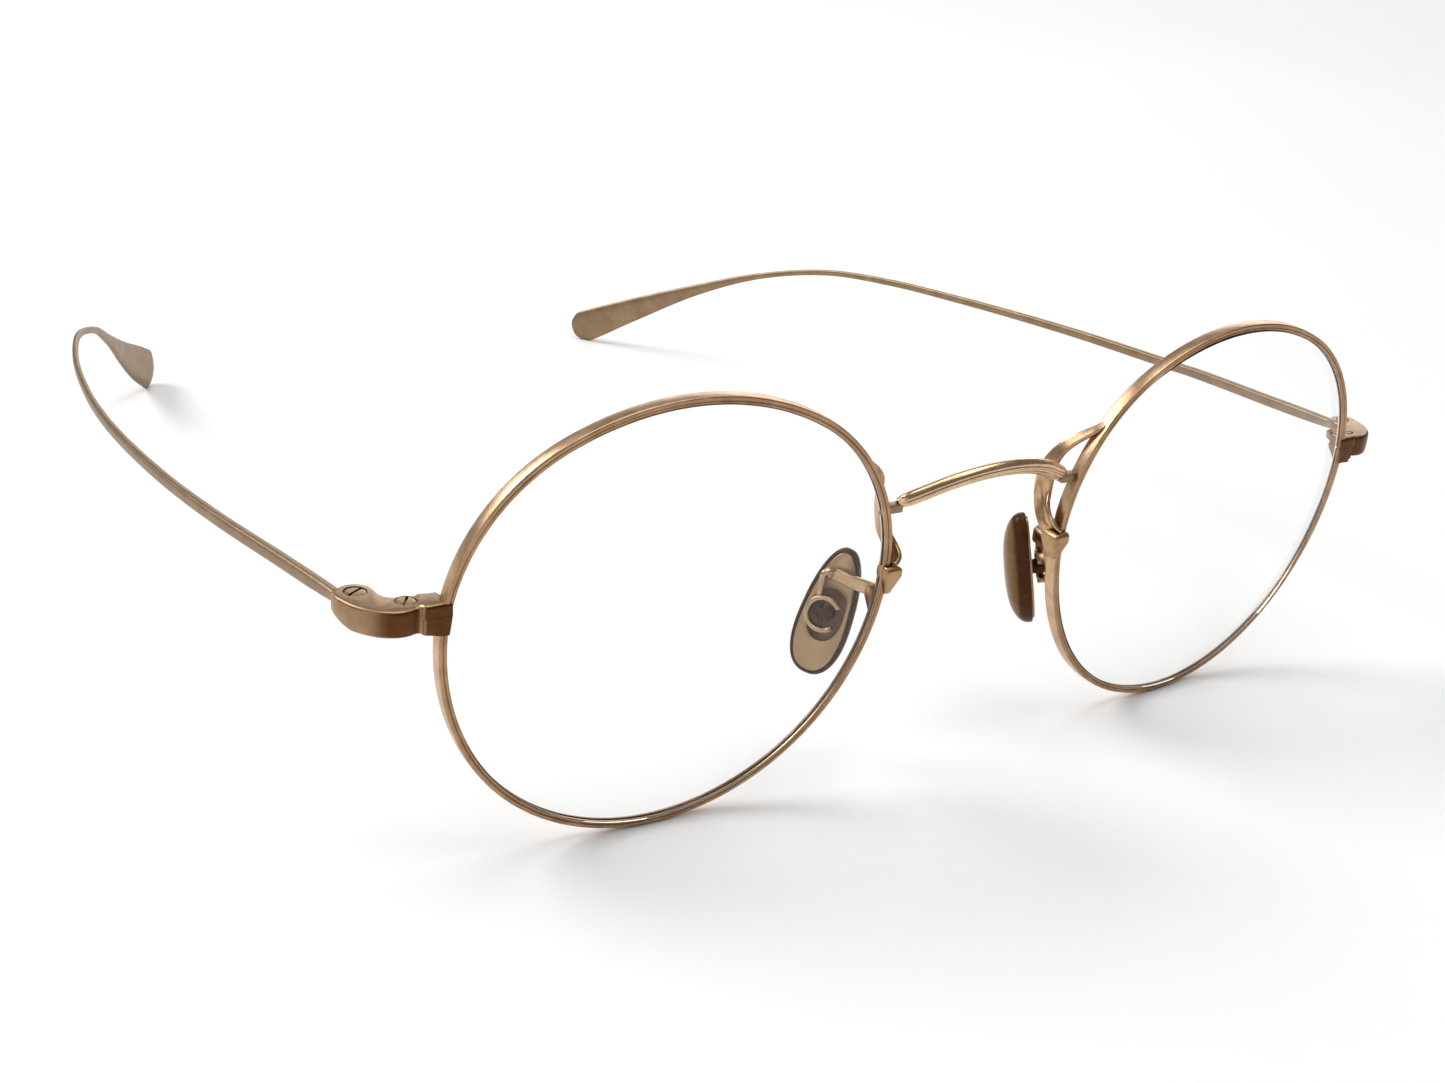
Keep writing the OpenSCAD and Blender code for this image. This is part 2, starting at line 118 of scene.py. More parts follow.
def outline_arcs(k):
    """The rim outline as points on its arcs, from the lower outer side round over the top."""
    up = math.atan2(-Y_ARC_TOP, HALF_W - R_SIDE_UP)
    low = math.atan2(Y_ARC_BOT, R_SIDE_LOW - HALF_W)
    pi = math.pi
    return (arc(HALF_W - R_SIDE_LOW, 0, R_SIDE_LOW, low, 0, 5 * k)
            + arc(HALF_W - R_SIDE_UP, 0, R_SIDE_UP, 0, up, 5 * k)
            + arc(0, Y_ARC_TOP, R_TOP, up, pi - up, 8 * k)
            + arc(R_SIDE_UP - HALF_W, 0, R_SIDE_UP, pi - up, pi, 5 * k)
            + arc(R_SIDE_LOW - HALF_W, 0, R_SIDE_LOW, pi, pi - low, 5 * k)
            + arc(0, Y_ARC_BOT, R_BOTTOM, pi - low, 2 * pi + low, 8 * k))


def outline_point(a, o):
    """Point of outline_arcs() moved outwards by o."""
    cx, cy, r, t = a
    return cx + (r + o) * math.cos(t), cy + (r + o) * math.sin(t) - MID_V


def rounded(a, b, r, n=4):
    """Rounded rectangle of half-sizes a and b."""
    r = min(r, a * 0.98, b * 0.98)
    out = []
    for cx, cy, t0 in ((a - r, b - r, 0), (r - a, b - r, 90), (r - a, r - b, 180),
                       (a - r, r - b, 270)):
        for i in range(n + 1):
            t = math.radians(t0 + 90 * i / n)
            out.append((cx + r * math.cos(t), cy + r * math.sin(t)))
    return out


def dense(pts, steps=8):
    """A rounded() outline with the straight runs between its corners cut into steps."""
    out, corner = [], len(pts) // 4
    for j, (p, q) in enumerate(zip(pts, pts[1:] + pts[:1])):
        n = steps if j % corner == corner - 1 else 1
        out += [(p[0] + (q[0] - p[0]) * i / n, p[1] + (q[1] - p[1]) * i / n) for i in range(n)]
    return out


def even_loop(pts, step=0.09):
    """Same closed outline with points at even spacing."""
    pts = [Vector((p[0], p[1])) for p in pts]
    out = []
    for a, b in zip(pts, pts[1:] + pts[:1]):
        n = max(1, round((b - a).length / step))
        out += [a + (b - a) * i / n for i in range(n)]
    return out


def oval(a, b, e, n):
    """Superellipse of half-sizes a and b and exponent e."""
    out = []
    for i in range(n):
        t = 2 * math.pi * (i + 0.5) / n
        out.append((a * power(math.cos(t), 2 / e), b * power(math.sin(t), 2 / e)))
    return out


def round_arc(at, r, degrees):
    return [[at.x + r * math.cos(math.radians(t)), at.y + r * math.sin(math.radians(t))]
            for t in degrees]


def curve(rows, k):
    """Smooth curve through rows of numbers, k steps between two rows."""
    out, m = [], len(rows)
    for i in range(m - 1):
        a, b, c, d = rows[max(i - 1, 0)], rows[i], rows[i + 1], rows[min(i + 2, m - 1)]
        for j in range(k):
            t = j / k
            out.append([0.5 * (2 * q + (r - p) * t + (2 * p - 5 * q + 4 * r - s) * t * t
                               + (3 * q - p - 3 * r + s) * t ** 3)
                        for p, q, r, s in zip(a, b, c, d)])
    return out + [list(rows[-1])]


# ---- mesh tools
class Shape:
    """Vertices in design millimetres, faces, and a UV in millimetres for each vertex."""

    def __init__(self):
        self.v, self.f, self.uv = [], [], []

    def ring(self, points, s=0.0):
        """Adds a ring of vertices at length s along the piece."""
        start = len(self.v)
        d, last = 0.0, None
        for p in points:
            p = Vector(p)
            if last is not None:
                d += (p - last).length
            last = p
            self.v.append(p)
            self.uv.append((s, d))
        return list(range(start, start + len(points)))

    def loft(self, rings, closed=False):
        pairs = list(zip(rings, rings[1:])) + ([(rings[-1], rings[0])] if closed else [])
        for a, b in pairs:
            n = len(a)
            for j in range(n):
                k = (j + 1) % n
                self.f.append((a[j], b[j], b[k], a[k]))
        return self

    def solid(self, rings):
        """Lofts the rings and closes both ends."""
        self.loft(rings)
        self.f += [tuple(rings[0]), tuple(reversed(rings[-1]))]
        return self

    def moved(self, m):
        self.v = [m @ p for p in self.v]
        return self

    def add(self, other):
        n = len(self.v)
        self.v += other.v
        self.uv += other.uv
        self.f += [tuple(i + n for i in f) for f in other.f]
        return self


def link(name, me):
    ob = bpy.data.objects.new(name, me)
    bpy.context.collection.objects.link(ob)
    return ob


def make(name, shape, side=1):
    """Object from a Shape."""
    me = bpy.data.meshes.new(name)
    me.from_pydata([to_world(p, side) for p in shape.v], [],
                   [f if side > 0 else tuple(reversed(f)) for f in shape.f])
    me.update()
    layer = me.uv_layers.new(name="length")
    for li in me.loops:
        layer.data[li.index].uv = shape.uv[li.vertex_index]
    bm = bmesh.new()
    bm.from_mesh(me)
    bmesh.ops.recalc_face_normals(bm, faces=bm.faces)
    bm.to_mesh(me)
    bm.free()
    return link(name, me)


def finish_piece(ob, mat, body, nodes, smooth):
    """Gives a piece its material, its body and the CAD nodes that it replaces."""
    me = ob.data
    me.materials.append(mat)
    for p in me.polygons:
        p.use_smooth = True
    me.set_sharp_from_angle(angle=math.radians(smooth))
    for n in nodes:
        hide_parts(n)
    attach(ob, body)


def apply_modifiers(ob):
    dg = bpy.context.evaluated_depsgraph_get()
    me = bpy.data.meshes.new_from_object(ob.evaluated_get(dg))
    ob.modifiers.clear()
    ob.data = me


def cut(ob, shape, side):
    """Takes a Shape out of ob."""
    tool = make("tool", shape, side)
    m = ob.modifiers.new("cut", "BOOLEAN")
    m.operation, m.solver, m.object = "DIFFERENCE", "EXACT", tool
    apply_modifiers(ob)
    bpy.data.objects.remove(tool)


def sweep(path, ups, section, ends=(0.0, 0.0)):
    """Bar along path. section(i, inset) is the profile at i; ends are the radii at both ends."""
    n = len(path)
    path = [Vector(p) for p in path]
    tan = [(path[min(i + 1, n - 1)] - path[max(i - 1, 0)]).normalized() for i in range(n)]
    sh, rings, s = Shape(), [], 0.0

    def ring(c, t, up, prof, at):
        v = t.cross(up).normalized()
        u = v.cross(t)
        return sh.ring([c + u * a + v * b for a, b in prof], at)

    turns = [math.radians(q) for q in (15, 30, 45, 60, 75)]
    if ends[0]:
        for a in turns[::-1]:
            back = ends[0] * (1 - math.sin(a))
            rings.append(ring(path[0] + tan[0] * back, tan[0], ups[0],
                              section(0, ends[0] * (1 - math.cos(a))), back))
    for i in range(n):
        if i:
            s += (path[i] - path[i - 1]).length
        if (ends[0] and s < ends[0]) or (ends[1] and (path[i] - path[-1]).length < ends[1]):
            continue
        rings.append(ring(path[i], tan[i], ups[i], section(i, 0), s))
    if ends[1]:
        for a in turns:
            back = ends[1] * (1 - math.sin(a))
            rings.append(ring(path[-1] - tan[-1] * back, tan[-1], ups[-1],
                              section(n - 1, ends[1] * (1 - math.cos(a))), s - back))
    return sh.solid(rings)


def lathe(profile, n=64):
    """Shape and rings turned about Z from (radius, z) points, not yet lofted."""
    sh = Shape()
    rings = [sh.ring([(r * math.cos(2 * math.pi * j / n), r * math.sin(2 * math.pi * j / n), z)
                      for j in range(n)], z) for r, z in profile]
    return sh, rings


def disc(profile, n=64):
    sh, rings = lathe(profile, n)
    return sh.solid(rings)


def box(lo, hi):
    sh = Shape()
    return sh.solid([sh.ring([(lo[0], lo[1], z), (hi[0], lo[1], z), (hi[0], hi[1], z),
                              (lo[0], hi[1], z)]) for z in (lo[2], hi[2])])


def pillow(plan, levels):
    """Solid on a plan, its edge drawn in by the levels (inset, z)."""
    n = len(plan)
    nor = []
    for i in range(n):
        t = (plan[(i + 2) % n] - plan[i - 2]).normalized()
        nor.append(Vector((t.y, -t.x)))
    sh = Shape()
    return sh.solid([sh.ring([(*(p - q * ins), z) for p, q in zip(plan, nor)], z)
                     for ins, z in levels])


def round_levels(z0, z1, r, bulge):
    """Levels for pillow(): edges of radius r, and sides that bow in by bulge between them."""
    turns = [math.radians(q) for q in (0, 30, 60)]
    low = [(r * (1 - math.sin(t)) + bulge, z0 + r * (1 - math.cos(t))) for t in turns]
    high = [(r * (1 - math.sin(t)) + bulge, z1 - r * (1 - math.cos(t))) for t in turns[::-1]]
    flat = [(bulge * (i / 4 - 1) ** 2, z0 + r + (z1 - z0 - 2 * r) * i / 8) for i in range(9)]
    return low + flat + high


def hull(name, boxes, side, width):
    """Convex solid round a few small boxes, its edges bevelled by width."""
    bm = bmesh.new()
    for lo, hi in boxes:
        for x in (lo[0], hi[0]):
            for y in (lo[1], hi[1]):
                for z in (lo[2], hi[2]):
                    bm.verts.new(to_world((x, y, z), side))
    r = bmesh.ops.convex_hull(bm, input=bm.verts)
    bmesh.ops.delete(bm, geom=[g for g in set(r["geom_interior"] + r["geom_unused"])
                               if isinstance(g, bmesh.types.BMVert)], context="VERTS")
    bmesh.ops.dissolve_limit(bm, angle_limit=0.02, verts=bm.verts, edges=bm.edges)
    bmesh.ops.recalc_face_normals(bm, faces=bm.faces)
    me = bpy.data.meshes.new(name)
    bm.to_mesh(me)
    bm.free()
    me.uv_layers.new(name="length")
    ob = link(name, me)
    m = ob.modifiers.new("bevel", "BEVEL")
    m.width, m.segments, m.limit_method = width * MM, 3, "ANGLE"
    m.angle_limit, m.use_clamp_overlap = math.radians(15), True
    apply_modifiers(ob)
    return ob


# ---- materials
WHITE = (1, 1, 1)
STREAK_SCALE, PATINA_SCALE, GRAIN_SCALE = 3.0, 420, 9000
STREAK_TINT, CREVICE_PATINA_AND_SHADE_TINT, FRONT_PAINTED_SHADE_TINT = (0.72, 0.68, 0.62), (0.3, 0.22, 0.16), (0.32, 0.22, 0.155)
ALONG_WIRE = (0.35, 9, 1)


def node_tree(name):
    mat = bpy.data.materials.new(name)
    mat.use_nodes = True
    nt = mat.node_tree
    return nt, nt.nodes["Principled BSDF"], nt.nodes.new("ShaderNodeTexCoord").outputs, mat


def noise(nt, vec, scale, detail, rough, stretch=(1, 1, 1)):
    m = nt.nodes.new("ShaderNodeMapping")
    m.inputs["Scale"].default_value = stretch
    nt.links.new(vec, m.inputs["Vector"])
    n = nt.nodes.new("ShaderNodeTexNoise")
    n.inputs["Scale"].default_value = scale
    n.inputs["Detail"].default_value = detail
    n.inputs["Roughness"].default_value = rough
    nt.links.new(m.outputs[0], n.inputs["Vector"])
    return n.outputs["Fac"]


def ramp(nt, fac, stops):
    r = nt.nodes.new("ShaderNodeValToRGB")
    el = r.color_ramp.elements
    while len(el) < len(stops):
        el.new(0.5)
    for e, (pos, col) in zip(el, stops):
        e.position = pos
        e.color = (*col, 1)
    nt.links.new(fac, r.inputs[0])
    return r.outputs[0]


def remap(nt, fac, a, b, c, d):
    """Maps the range a to b onto c to d."""
    m = nt.nodes.new("ShaderNodeMapRange")
    for k, v in zip(("From Min", "From Max", "To Min", "To Max"), (a, b, c, d)):
        m.inputs[k].default_value = v
    nt.links.new(fac, m.inputs["Value"])
    return m.outputs["Result"]


def multiply(nt, fac, a, b):
    """Colour a times b, as far as fac says. fac and b may be values or sockets."""
    m = nt.nodes.new("ShaderNodeMix")
    m.data_type, m.blend_type = "RGBA", "MULTIPLY"
    for sock, val in ((m.inputs["Factor"], fac), (m.inputs[6], a), (m.inputs[7], b)):
        if isinstance(val, (int, float)):
            sock.default_value = val
        elif isinstance(val, tuple):
            sock.default_value = (*val, 1)
        else:
            nt.links.new(val, sock)
    return m.outputs[2]


def bumped(nt, bsdf, layers):
    """Chains bump layers (height, strength, distance)."""
    last = None
    for height, strength, dist in layers:
        b = nt.nodes.new("ShaderNodeBump")
        b.inputs["Strength"].default_value = strength
        b.inputs["Distance"].default_value = dist
        nt.links.new(height, b.inputs["Height"])
        if last:
            nt.links.new(last, b.inputs["Normal"])
        last = b.outputs[0]
    nt.links.new(last, bsdf.inputs["Normal"])


def metal(name, light, dark, rough, streak=0.35, grain=0.25, front=0.0, crevice=0.35):
    """Brushed antique gold: streaks along the wire, mottled patina, and dark crevices that are
    patina and painted shade.

    front darkens the faces that look forwards: painted shade. crevice is the reach of the dark in
    mm: patina in tight crevices, painted shade when the reach is long.
    """
    nt, bsdf, coords, mat = node_tree(name)
    streaks = noise(nt, coords["UV"], STREAK_SCALE, 3, 0.6, ALONG_WIRE)
    patches = noise(nt, coords["Object"], PATINA_SCALE, 3, 0.6)
    fine = noise(nt, coords["Object"], GRAIN_SCALE, 2, 0.6)
    middle = tuple((a + b) / 2 for a, b in zip(light, dark))
    base = ramp(nt, patches, [(0.3, dark), (0.52, middle), (0.72, light)])
    base = multiply(nt, 1.4 * streak, base, ramp(nt, streaks, [(0.3, STREAK_TINT), (0.7, WHITE)]))
    # patina and painted shade: AO darkens the base colour in crevices within the crevice reach
    ao = nt.nodes.new("ShaderNodeAmbientOcclusion")
    ao.samples = 8
    ao.inputs["Distance"].default_value = crevice * MM
    shade = ramp(nt, ao.outputs["AO"], [(0.25, CREVICE_PATINA_AND_SHADE_TINT), (0.85, WHITE)])
    base = multiply(nt, 1.0, base, shade)
    # painted shade: faces that look forwards get a darker base colour
    if front:
        axes = nt.nodes.new("ShaderNodeSeparateXYZ")
        nt.links.new(coords["Normal"], axes.inputs[0])
        front_shade_mask = remap(nt, axes.outputs["Y"], -0.55, -0.9, 0.0, front)
        base = multiply(nt, front_shade_mask, base, FRONT_PAINTED_SHADE_TINT)
    nt.links.new(base, bsdf.inputs["Base Color"])
    bsdf.inputs["Metallic"].default_value = 1.0
    gloss = remap(nt, streaks, 0.25, 0.75, rough - 0.06, rough + 0.1)
    nt.links.new(gloss, bsdf.inputs["Roughness"])
    bumped(nt, bsdf, [(streaks, streak, 0.02 * MM), (fine, grain, 0.01 * MM)])
    return mat


rim_metal = metal("brushed_gold", (0.56, 0.36, 0.19), (0.36, 0.21, 0.105), 0.3)
# front= paints shade onto the forward-looking faces of the rim wire and the end pieces
rim_wire_metal = metal("rim_wire_gold", (0.74, 0.51, 0.32), (0.50, 0.32, 0.19), 0.3,
                       0.35, 0.35, front=0.45)
end_metal = metal("end_piece_gold", (0.46, 0.31, 0.18), (0.31, 0.19, 0.105), 0.36, front=1.0)
polished = metal("polished_gold", (0.80, 0.57, 0.36), (0.56, 0.37, 0.22), 0.22, 0.15, 0.15)
# crevice=2.5 reaches across the bow's hollow: painted shade in its trough
bow_metal = metal("bow_gold", (0.70, 0.48, 0.29), (0.48, 0.31, 0.18), 0.26, 0.2, 0.15, crevice=2.5)
arm_metal = metal("arm_gold", (0.60, 0.42, 0.26), (0.43, 0.28, 0.16), 0.24, 0.15, 0.15)
# the pin's near-black brown is painted shade, for the shade inside the clip
pin_metal = metal("pin_painted_shade", (0.16, 0.10, 0.06), (0.10, 0.06, 0.035), 0.45, 0.15, 0.2)
matte = metal("matte_gold", (0.36, 0.25, 0.155), (0.27, 0.18, 0.11), 0.42, 0.25, 0.4)
satin = metal("satin_gold", (0.52, 0.36, 0.205), (0.44, 0.29, 0.16), 0.38, 0.1, 0.3)


LENS_IOR = 1.25  # lower than glass, as an anti-reflection coating leaves little glare


def lens_material():
    nt, bsdf, coords, mat = node_tree("clear_lens")
    smudge = noise(nt, coords["Object"], 140, 3, 0.5)
    bsdf.inputs["Base Color"].default_value = (0.985, 0.99, 0.99, 1)
    bsdf.inputs["Transmission Weight"].default_value = 1.0
    bsdf.inputs["IOR"].default_value = LENS_IOR
    nt.links.new(remap(nt, smudge, 0.5, 0.8, 0.0, 0.02), bsdf.inputs["Roughness"])
    return mat


def pad_material():
    """Brown moulding, dark at its back edge and lighter towards the face that meets the nose; the
    dark back edge is painted shade.
    """
    nt, bsdf, coords, mat = node_tree("brown_pad")
    clouds = noise(nt, coords["Object"], 260, 3, 0.55)
    fine = noise(nt, coords["Object"], 5200, 2, 0.5)
    axes = nt.nodes.new("ShaderNodeSeparateXYZ")
    nt.links.new(coords["UV"], axes.inputs[0])
    depth = remap(nt, axes.outputs["X"], 0.0, PAD_H, 0.0, 1.0)
    # painted shade: the ramp darkens the pad towards its back edge
    base = ramp(nt, depth, [(0.0, (0.085, 0.034, 0.013)), (0.5, (0.075, 0.028, 0.010)),
                            (0.62, (0.21, 0.115, 0.055)), (1.0, (0.31, 0.19, 0.105))])
    base = multiply(nt, 0.6, base, ramp(nt, clouds, [(0.3, (0.6, 0.55, 0.5)), (0.7, WHITE)]))
    nt.links.new(base, bsdf.inputs["Base Color"])
    bsdf.inputs["Transmission Weight"].default_value = 0.1
    bsdf.inputs["IOR"].default_value = 1.4
    bsdf.inputs["Specular IOR Level"].default_value = 0.22
    bsdf.inputs["Specular Tint"].default_value = (1.0, 0.62, 0.38, 1)
    nt.links.new(remap(nt, clouds, 0.3, 0.7, 0.2, 0.34), bsdf.inputs["Roughness"])
    bumped(nt, bsdf, [(clouds, 0.06, 0.05 * MM), (fine, 0.08, 0.005 * MM)])
    return mat


clear_lens = lens_material()
brown_pad = pad_material()

# ---- rims and lenses
EDGE_R = 0.13
LINE_AT, LINE_W, LINE_FLOOR, LINE_DEEP = -0.04, 0.09, 0.03, 0.10
RIM_JOIN_Z = Z_SPLIT - 0.09
LENS_T, LENS_R, LENS_SAG = 1.4, 130.0, 2.1
LENS_INSET, LENS_BEVEL = 0.06, 0.26


def rim_profile():
    """(offset, depth) round the wire: crowned outside, engraved line in front, V groove inside."""
    pts = []

    def corner(cx, cz, t0):
        for i in range(5):
            t = math.radians(t0 + 90 * i / 4)
            pts.append((cx + EDGE_R * math.cos(t), cz + EDGE_R * math.sin(t)))

    pts.extend([(RIM_T - 0.01, -0.38), (RIM_T + 0.008, -0.15), (RIM_T + 0.012, 0.1),
                (RIM_T - 0.005, 0.35)])
    corner(RIM_T - 0.02 - EDGE_R, RIM_D - EDGE_R, 0)
    pts.extend([(LINE_AT + LINE_W, RIM_D), (LINE_AT + LINE_FLOOR, RIM_D - LINE_DEEP),
                (LINE_AT - LINE_FLOOR, RIM_D - LINE_DEEP), (LINE_AT - LINE_W, RIM_D - 0.01)])
    corner(-RIM_T + EDGE_R, RIM_D - 0.02 - EDGE_R, 90)
    pts.extend([(-RIM_T, 0.34), (0.02, 0.02), (0.02, -0.02), (-RIM_T, -0.34)])
    corner(-RIM_T + EDGE_R, -RIM_D + EDGE_R, 180)
    corner(RIM_T - 0.02 - EDGE_R, -RIM_D + EDGE_R, 270)
    return pts


def rim(side, tag):
    """The wire starts and ends at RIM_JOIN_Z on its outer side, inside the lock."""
    arcs = outline_arcs(16) * 2
    join_v = RIM_JOIN_Z / math.cos(PANTO)
    at = [outline_point(a, 0) for a in arcs]
    start = next(i for i, (u, v) in enumerate(at) if u > 0 and v > join_v)
    arcs = arcs[start:start + len(arcs) // 2]
    prof, sh, rings, s, last = rim_profile(), Shape(), [], 0.0, None
    for a in arcs:
        p = Vector((*outline_point(a, 0), 0))
        s += (p - last).length if last is not None else 0
        last = p
        rings.append(sh.ring([(*outline_point(a, o), z) for o, z in prof], s))
    ob = make(f"{tag}_rim_wire", sh.solid(rings).moved(AT_LENS), side)
    finish_piece(ob, rim_wire_metal, "front", [f"{tag}_rim"], 40)


def lens(side, tag):
    arcs = outline_arcs(6)
    edge = -RIM_T + LENS_INSET
    apex = RIM_D + LENS_SAG - LENS_R
    n = 16

    def face(i, radius):
        k = (i + 0.3) / (n + 0.3)
        pts = []
        for a in arcs:
            x, y = (c * k for c in outline_point(a, edge))
            pts.append((x, y, apex + math.sqrt(radius ** 2 - x * x - y * y)))
        return pts

    sh = Shape()
    rings = [sh.ring(face(i, LENS_R), i) for i in range(n + 1)]
    for o, z in ((edge, LENS_BEVEL), (0.0, 0.0), (edge, -LENS_BEVEL)):
        rings.append(sh.ring([(*outline_point(a, o), z) for a in arcs], n))
    rings += [sh.ring(face(i, LENS_R - LENS_T), i) for i in range(n, -1, -1)]
    ob = make(f"{tag}_lens_blank", sh.solid(rings).moved(AT_LENS), side)
    finish_piece(ob, clear_lens, "front", [f"{tag}_lens"], 20)


# ---- bridge: an arc with straight ends, four flutes along its front
BRIDGE_HALF, BRIDGE_R, BRIDGE_A = 10.9, 14.5, math.radians(31)
BRIDGE_AT, BRIDGE_TILT = (0, -4.3, 12), math.radians(40)
BAR_OUT, BAR_FWD, BAR_EXP = 1.0, 0.7, 0.87
FLUTES, FLUTE_HALF, FLUTE_DEEP = (48, 72, 96, 120), 9.0, 0.11
STUB, STUB_STEPS, ARC_STEPS, ROUND_STEPS = 0.25, 8, 60, 144
PEG = ((10.8, -2.15, 7.9), (13.6, -1.1, 8.85))


def bridge():
    reach = (BRIDGE_HALF - BRIDGE_R * math.sin(BRIDGE_A)) / math.cos(BRIDGE_A) + STUB
    rows = []
    for i in range(STUB_STEPS):
        d = reach * (1 - i / STUB_STEPS)
        rows.append((-BRIDGE_R * math.sin(BRIDGE_A) - d * math.cos(BRIDGE_A),
                     BRIDGE_R * (math.cos(BRIDGE_A) - 1) - d * math.sin(BRIDGE_A), -BRIDGE_A))
    stub = [(-x, h, -a) for x, h, a in rows]
    for i in range(ARC_STEPS + 1):
        a = -BRIDGE_A + 2 * BRIDGE_A * i / ARC_STEPS
        rows.append((BRIDGE_R * math.sin(a), BRIDGE_R * (math.cos(a) - 1), a))
    rows += reversed(stub)
    tilt = Matrix.Translation(BRIDGE_AT) @ Matrix.Rotation(BRIDGE_TILT, 4, "X")
    turn = tilt.to_3x3()
    fwd = turn @ Vector((0, -1, 0))
    sh, rings, s = Shape(), [], 0.0
    for i, (x, h, a) in enumerate(rows):
        c = tilt @ Vector((x, 0, h))
        out = turn @ Vector((math.sin(a), 0, math.cos(a)))
        end = min(i, len(rows) - 1 - i)
        pts = []
        for j in range(ROUND_STEPS):
            t = 360 * j / ROUND_STEPS
            dip = sum(max(0.0, 1 - abs((t - f) / FLUTE_HALF)) for f in FLUTES)
            k = (1 - FLUTE_DEEP * dip ** 1.3) * ((0.62, 0.85, 0.96)[end] if end < 3 else 1)
            pts.append(c + out * k * BAR_OUT * power(math.cos(math.radians(t)), BAR_EXP)
                       + fwd * k * BAR_FWD * power(math.sin(math.radians(t)), BAR_EXP))
        s += 0.3
        rings.append(sh.ring(pts, s))
    finish_piece(make("bridge_bar", sh.solid(rings)), polished, "front", ["bridge"], 50)
    for side, tag in ((1, "left"), (-1, "right")):
        # the pegs take the darker matte gold: painted shade for the shade they lie in
        ob = hull(f"{tag}_bridge_peg", [PEG], side, 0.14)
        finish_piece(ob, matte, "front", (), 30)


# ---- nose bows with their collars
BOW_FRONT = [[16.1, -2.4, 13.9], [14.7, -2.1, 13.1], [12.9, -0.9, 11.4], [12.15, -0.1, 9.7],
             [11.9, 0.1, 7.8], [11.5, -0.1, 6.1], [10.8, -0.8, 4.9], [10.5, -1.7, 3.9],
             [10.75, -2.6, 3.1], [11.6, -2.9, 2.3]]
BOW_REAR = [[16.4, -1.8, 14.2], [15.0, -1.3, 13.5], [13.1, 0.1, 12.1], [12.0, 1.4, 10.2],
            [11.35, 2.1, 8.1], [11.1, 2.0, 5.8], [10.9, 1.3, 4.1], [10.65, 0.3, 2.9],
            [10.6, -0.4, 2.1], [10.8, -0.8, 1.6]]
BOW_T, BOW_TROUGH = 0.5, 0.55
COLLAR = [((10.5, -3.0, 1.2), (12.5, -0.6, 2.0)), ((10.9, -2.7, 1.1), (12.4, -0.8, 2.3)),
          ((11.2, -2.3, -0.9), (11.9, -0.9, -0.7))]


def bow_profile(a, b, z):
    """Rounded strip, hollowed on its nose side towards the collar."""
    deep = BOW_TROUGH * ease((7.2 - z) / 2.2)
    return [(u, v + deep * max(0.0, 1 - (u / (a * 0.78)) ** 2))
            for u, v in dense(rounded(a, b, 0.16))]


def bow(side, tag):
    front, rear = ([Vector(q) for q in curve(rows, 12)] for rows in (BOW_FRONT, BOW_REAR))
    middle = [(a + b) / 2 for a, b in zip(front, rear)]
    ups = [(b - a).normalized() for a, b in zip(front, rear)]
    half = [(b - a).length / 2 for a, b in zip(front, rear)]

    def section(i, ins):
        return bow_profile(half[i] - ins, BOW_T / 2 - ins, middle[i].z)

    ob = make(f"{tag}_bow_strip", sweep(middle, ups, section, (0.1, 0.1)), side)
    finish_piece(ob, bow_metal, "front", [f"{tag}_bow"], 45)
    ob = hull(f"{tag}_bow_collar", COLLAR, side, 0.45)
    finish_piece(ob, rim_metal, "front", (), 30)


# ---- nose pads, plates, arms and clips
PAD_EXP, HOLE_EXP, PAD_STEPS = 0.85, 0.9, 96
HOLE_U, HOLE_V, HOLE_A, HOLE_B = -0.05, -0.3, 1.8, 2.85
PAD_LUG_A, PAD_LUG_B, PIN_Z = 0.85, 0.55, 1.3
CLIP_R, CLIP_T, CLIP_Z, CLIP_H = 1.7, 0.5, 1.3, 1.1
CLIP_FROM, CLIP_TO, CLIP_STEPS = math.radians(218), math.radians(502), 60
ARM_STEPS = 10
BLADE = [((12.2, -0.8, -1.2), (12.95, 0.4, -0.4)), ((12.4, -0.9, -3.2), (12.7, -0.4, -3.0))]


def pad_ring(k, z, grow=0.0):
    """Outline of the pad, scaled by k and grown by grow."""
    pts = []
    for i in range(PAD_STEPS):
        t = 2 * math.pi * i / PAD_STEPS
        v = PAD_L / 2 * power(math.sin(t), PAD_EXP)
        half = PAD_W / 2 * (1 - PAD_TAPER * v) + grow
        pts.append((half * k * power(math.cos(t), PAD_EXP), v * k * (1 + 2 * grow / PAD_L), z))
    return pts


def pad(side, tag):
    """Body with a shallow recess for the plate, a rolled edge and a domed face."""
    edge, steps = 0.5, 18
    sh = Shape()
    # the floor of the recess is placed at the far end of the depth ramp, which is light: painted
    # light against the shade in the recess
    rings = [sh.ring(pad_ring(k, -edge), PAD_H) for k in (0.02, 0.5, 0.8, 0.90)]
    for g, z in ((-0.46, -0.48), (-0.45, -0.2), (-0.42, -0.1), (-0.34, -0.06), (-0.2, -0.05),
                 (-0.08, -0.12), (-0.02, -0.22), (0.0, -0.36)):
        rings.append(sh.ring(pad_ring(1, z, g), -z))
    for i in range(steps):
        t = (i + 1) / (steps + 0.4) * math.pi / 2
        z = -edge - (PAD_H - edge) * math.sin(t)
        rings.append(sh.ring(pad_ring(math.cos(t) ** 0.72, z), -z))
    ob = make(f"{tag}_pad_moulding", sh.solid(rings).moved(AT_PAD), side)
    finish_piece(ob, brown_pad, f"{tag}_nose_pad", [f"{tag}_pad"], 50)


